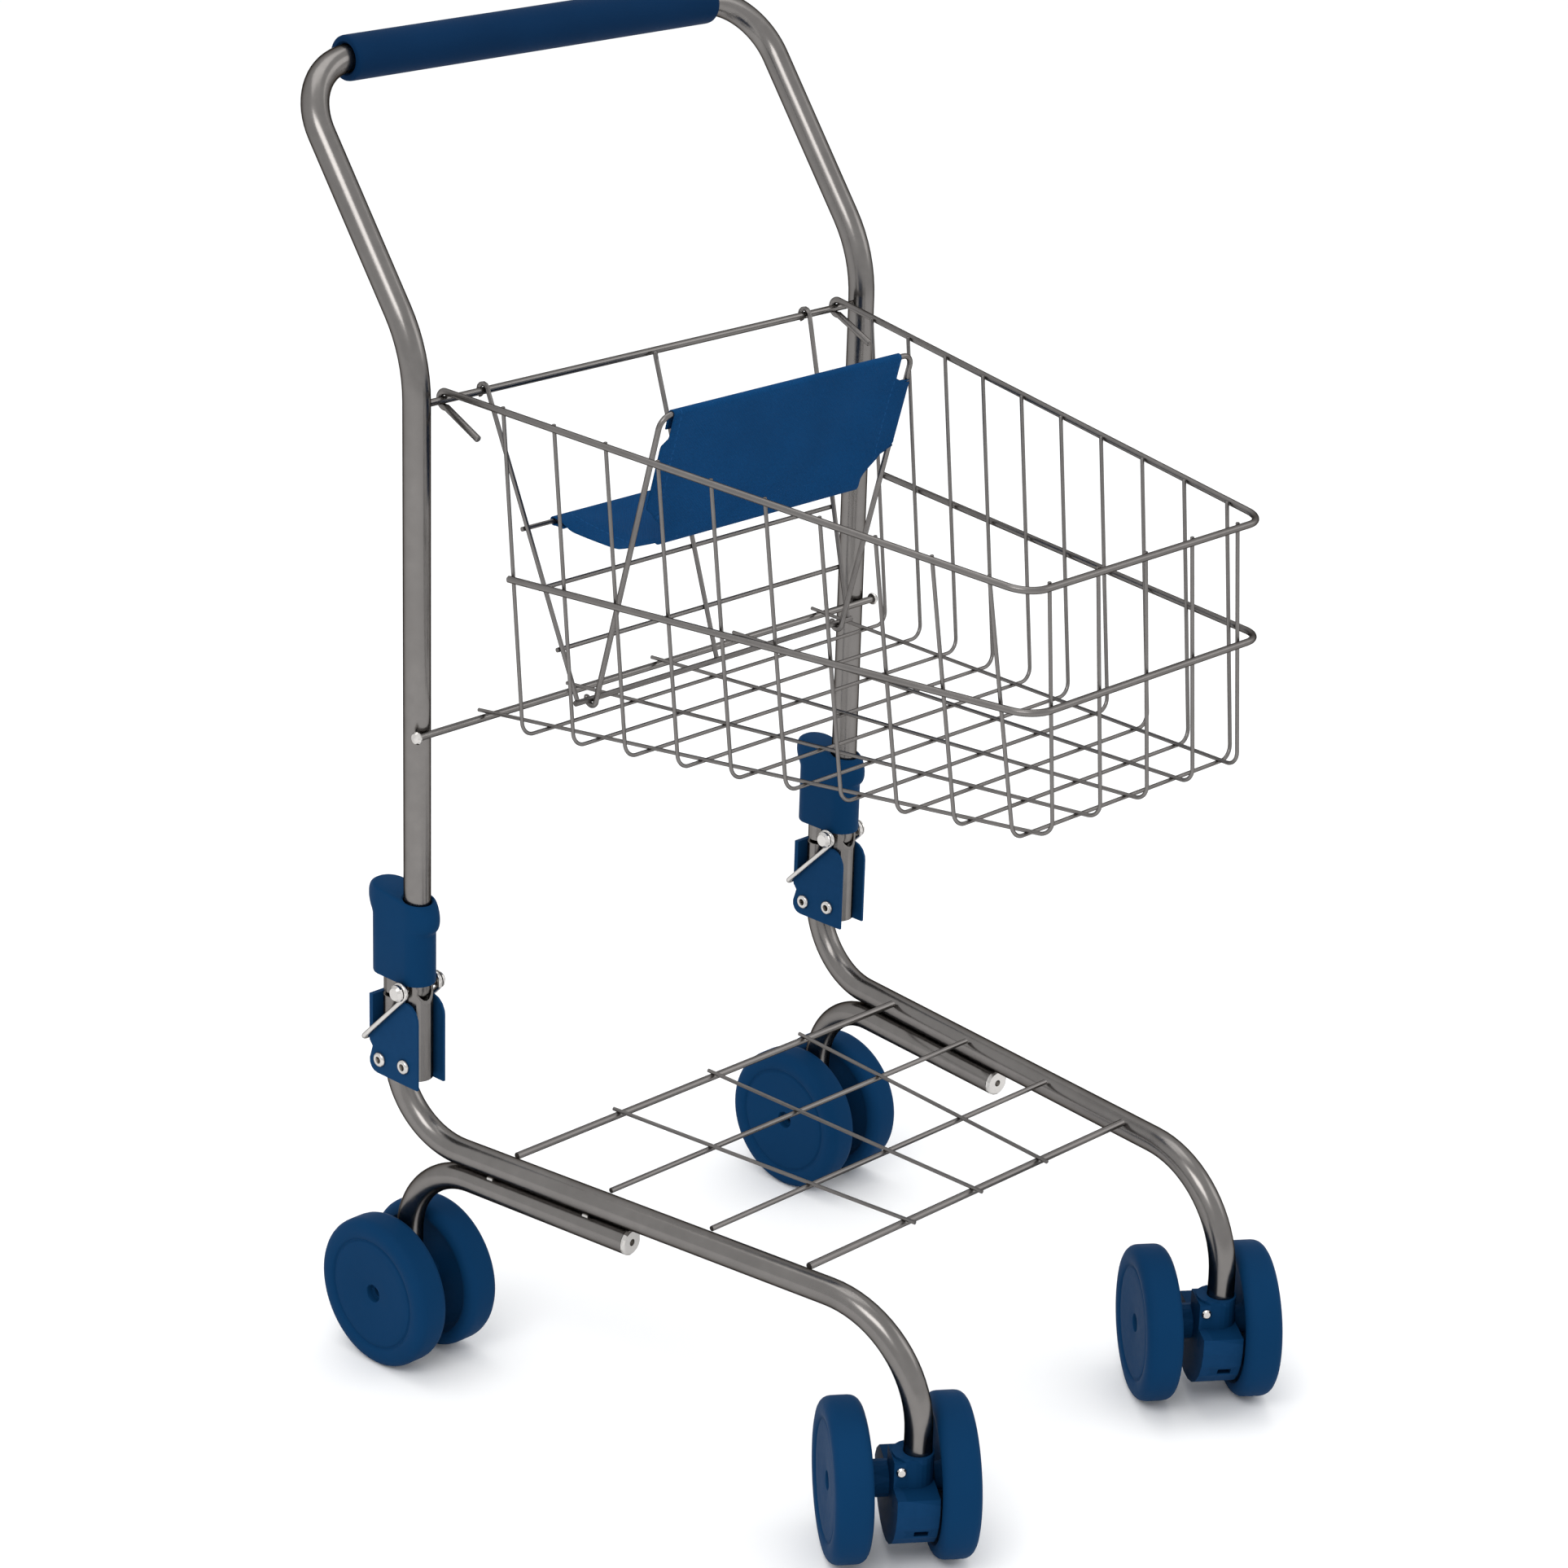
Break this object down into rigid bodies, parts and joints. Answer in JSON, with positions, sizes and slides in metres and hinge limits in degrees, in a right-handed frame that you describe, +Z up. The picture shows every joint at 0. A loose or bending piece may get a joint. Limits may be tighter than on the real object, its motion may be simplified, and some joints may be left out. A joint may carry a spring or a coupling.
{
  "type": "toy shopping cart",
  "caption": "Folding child's shopping cart of bent steel tube with a wire basket, rear flap, fabric doll seat, lower rack, twin rear wheels and twin-wheel casters.",
  "frame": {"origin": "on the floor, under the centre of the bounding box", "axes": "+X is the cart's width, -Y its nose, +Y the side the child pushes from, +Z up"},
  "size_m": [0.3112, 0.3908, 0.5835],
  "materials": {
    "zinc_plated_steel": "satin bright plating on bent tube",
    "zinc_plated_wire": "satin bright plating on wire",
    "blue_plastic": "semi-gloss moulded dark blue plastic",
    "blue_fabric": "plain woven dark blue fabric"
  },
  "bodies": {
    "lower_frame": {"shelf_rack": "zinc_plated_wire", "side_tube_left": "zinc_plated_steel", "rear_leg_left": "zinc_plated_steel", "leg_cap_left": "zinc_plated_steel", "leg_weld_rear_left": "zinc_plated_steel", "leg_weld_front_left": "zinc_plated_steel", "hinge_bracket_left": "blue_plastic", "hinge_channel_left": "zinc_plated_steel", "bracket_rivet_front_left": "zinc_plated_steel", "bracket_rivet_rear_left": "zinc_plated_steel", "rear_axle_left": "zinc_plated_steel", "side_tube_right": "zinc_plated_steel", "rear_leg_right": "zinc_plated_steel", "leg_cap_right": "zinc_plated_steel", "leg_weld_rear_right": "zinc_plated_steel", "leg_weld_front_right": "zinc_plated_steel", "hinge_bracket_right": "blue_plastic", "hinge_channel_right": "zinc_plated_steel", "bracket_rivet_front_right": "zinc_plated_steel", "bracket_rivet_rear_right": "zinc_plated_steel", "rear_axle_right": "zinc_plated_steel"},
    "upper_frame": {"handle_tube": "zinc_plated_steel", "handle_grip": "blue_plastic", "upper_crossbar": "zinc_plated_steel", "lower_crossbar": "zinc_plated_steel", "crossbar_screw_left": "zinc_plated_steel", "pivot_bolt_left": "zinc_plated_steel", "crossbar_screw_right": "zinc_plated_steel", "pivot_bolt_right": "zinc_plated_steel"},
    "sleeve_left": {"lock_sleeve_left": "blue_plastic", "lock_pin_left": "zinc_plated_steel"},
    "bail_left": {"bail_left": "zinc_plated_wire"},
    "sleeve_right": {"lock_sleeve_right": "blue_plastic", "lock_pin_right": "zinc_plated_steel"},
    "bail_right": {"bail_right": "zinc_plated_wire"},
    "basket": {"basket_rim": "zinc_plated_wire", "basket_band": "zinc_plated_wire", "basket_cage": "zinc_plated_wire"},
    "flap": {"flap_frame": "zinc_plated_wire", "seat_panel": "blue_fabric"},
    "seat_back": {"seat_back_frame": "zinc_plated_wire", "seat_back_panel": "blue_fabric"},
    "rear_wheel_outer_left": {"rear_wheel_outer_left": "blue_plastic"},
    "rear_wheel_inner_left": {"rear_wheel_inner_left": "blue_plastic"},
    "caster_left": {"caster_housing_left": "blue_plastic", "caster_axle_left": "zinc_plated_steel", "caster_pin_left": "zinc_plated_steel"},
    "caster_wheel_a_left": {"caster_wheel_a_left": "blue_plastic"},
    "caster_wheel_b_left": {"caster_wheel_b_left": "blue_plastic"},
    "rear_wheel_outer_right": {"rear_wheel_outer_right": "blue_plastic"},
    "rear_wheel_inner_right": {"rear_wheel_inner_right": "blue_plastic"},
    "caster_right": {"caster_housing_right": "blue_plastic", "caster_axle_right": "zinc_plated_steel", "caster_pin_right": "zinc_plated_steel"},
    "caster_wheel_a_right": {"caster_wheel_a_right": "blue_plastic"},
    "caster_wheel_b_right": {"caster_wheel_b_right": "blue_plastic"}
  },
  "joints": [
    {"name": "frame_fold", "type": "hinge", "parent": "lower_frame", "child": "upper_frame", "pos_m": [0, 0.1085, 0.1824], "axis": [-1, 0, 0], "range_deg": [0, 90]},
    {"name": "sleeve_left_slide", "type": "slide", "parent": "upper_frame", "child": "sleeve_left", "axis": [0, 0, 1], "range_m": [0, 0.036]},
    {"name": "bail_left_swing", "type": "hinge", "parent": "lower_frame", "child": "bail_left", "pos_m": [-0.135, 0.1085, 0.1824], "axis": [1, 0, 0], "range_deg": [0, 80]},
    {"name": "sleeve_right_slide", "type": "slide", "parent": "upper_frame", "child": "sleeve_right", "axis": [0, 0, 1], "range_m": [0, 0.036]},
    {"name": "bail_right_swing", "type": "hinge", "parent": "lower_frame", "child": "bail_right", "pos_m": [0.135, 0.1085, 0.1824], "axis": [1, 0, 0], "range_deg": [0, 80]},
    {"name": "basket_tilt", "type": "hinge", "parent": "upper_frame", "child": "basket", "pos_m": [0, 0.1085, 0.4448], "axis": [-1, 0, 0], "range_deg": [0, 80]},
    {"name": "flap_swing", "type": "hinge", "parent": "basket", "child": "flap", "pos_m": [0, 0.1085, 0.4448], "axis": [-1, 0, 0], "range_deg": [0, 70]},
    {"name": "seat_back_fold", "type": "hinge", "parent": "flap", "child": "seat_back", "pos_m": [0, 0.0625, 0.3145], "axis": [-1, 0, 0], "range_deg": [0, 28], "deforming": ["seat_panel"]},
    {"name": "rear_wheel_outer_left_spin", "type": "hinge", "parent": "lower_frame", "child": "rear_wheel_outer_left", "pos_m": [-0.14744, 0.1172, 0.0349], "axis": [1, 0, 0], "continuous": true},
    {"name": "rear_wheel_inner_left_spin", "type": "hinge", "parent": "lower_frame", "child": "rear_wheel_inner_left", "pos_m": [-0.11764, 0.1172, 0.0349], "axis": [1, 0, 0], "continuous": true},
    {"name": "caster_left_swivel", "type": "hinge", "parent": "lower_frame", "child": "caster_left", "pos_m": [-0.1, -0.1625, 0.0392], "axis": [0, 0, 1], "continuous": true},
    {"name": "caster_wheel_a_left_spin", "type": "hinge", "parent": "caster_left", "child": "caster_wheel_a_left", "pos_m": [-0.11777, -0.13752, 0.0349], "axis": [0.7934, -0.6088, 0], "continuous": true},
    {"name": "caster_wheel_b_left_spin", "type": "hinge", "parent": "caster_left", "child": "caster_wheel_b_left", "pos_m": [-0.08222, -0.1648, 0.0349], "axis": [0.7934, -0.6088, 0], "continuous": true},
    {"name": "rear_wheel_outer_right_spin", "type": "hinge", "parent": "lower_frame", "child": "rear_wheel_outer_right", "pos_m": [0.14744, 0.1172, 0.0349], "axis": [1, 0, 0], "continuous": true},
    {"name": "rear_wheel_inner_right_spin", "type": "hinge", "parent": "lower_frame", "child": "rear_wheel_inner_right", "pos_m": [0.11764, 0.1172, 0.0349], "axis": [1, 0, 0], "continuous": true},
    {"name": "caster_right_swivel", "type": "hinge", "parent": "lower_frame", "child": "caster_right", "pos_m": [0.1, -0.1625, 0.0392], "axis": [0, 0, 1], "continuous": true},
    {"name": "caster_wheel_a_right_spin", "type": "hinge", "parent": "caster_right", "child": "caster_wheel_a_right", "pos_m": [0.08223, -0.13752, 0.0349], "axis": [0.7934, -0.6088, 0], "continuous": true},
    {"name": "caster_wheel_b_right_spin", "type": "hinge", "parent": "caster_right", "child": "caster_wheel_b_right", "pos_m": [0.11778, -0.1648, 0.0349], "axis": [0.7934, -0.6088, 0], "continuous": true}
  ],
  "couplings": [
    {"joint": "sleeve_left_slide", "follows": "frame_fold", "m_per_rad": 0.0223},
    {"joint": "sleeve_right_slide", "follows": "frame_fold", "m_per_rad": 0.0223}
  ]
}
